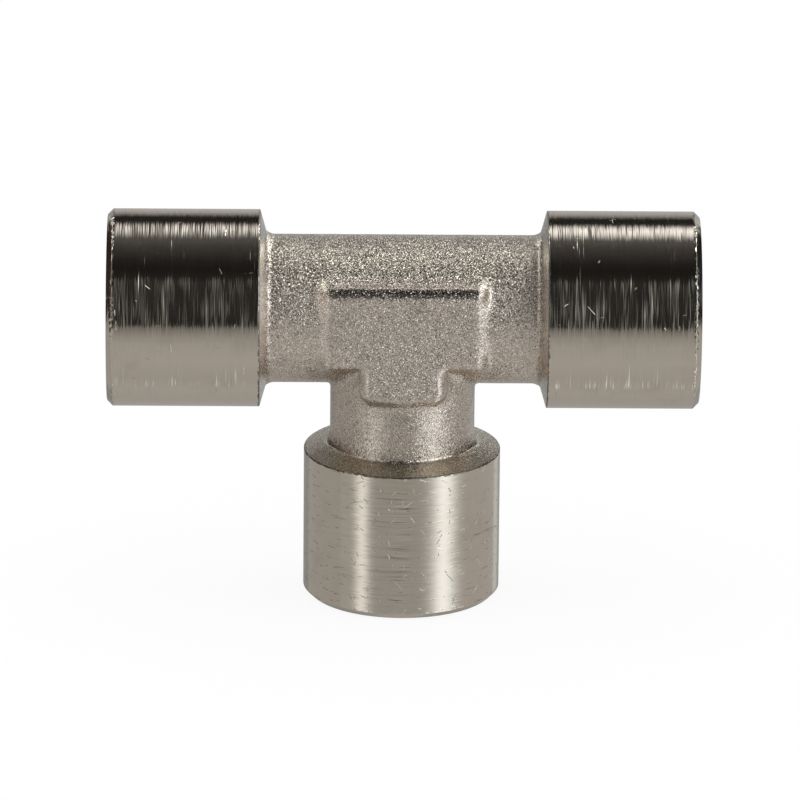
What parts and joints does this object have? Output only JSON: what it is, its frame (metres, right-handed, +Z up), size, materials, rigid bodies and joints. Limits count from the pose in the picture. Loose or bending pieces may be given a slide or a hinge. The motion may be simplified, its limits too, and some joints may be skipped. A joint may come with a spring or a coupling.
{
  "type": "threaded tee fitting",
  "caption": "Equal pipe tee with turned collars on all ports, a blasted forged middle with raised T flats, and internal pipe threads.",
  "frame": {"origin": "centre of the branch port's rim, the face that the fitting stands on", "axes": "+X along the run to the right port, +Z up along the branch axis, the raised T flats face -Y and +Y"},
  "size_m": [0.051, 0.017, 0.034],
  "materials": {
    "nickel_plated_brass": "nickel plated: turned and lightly scratched on the collars, shot-blasted on the forged middle"
  },
  "bodies": {
    "root": {"tee_body": "nickel_plated_brass"}
  },
  "joints": []
}
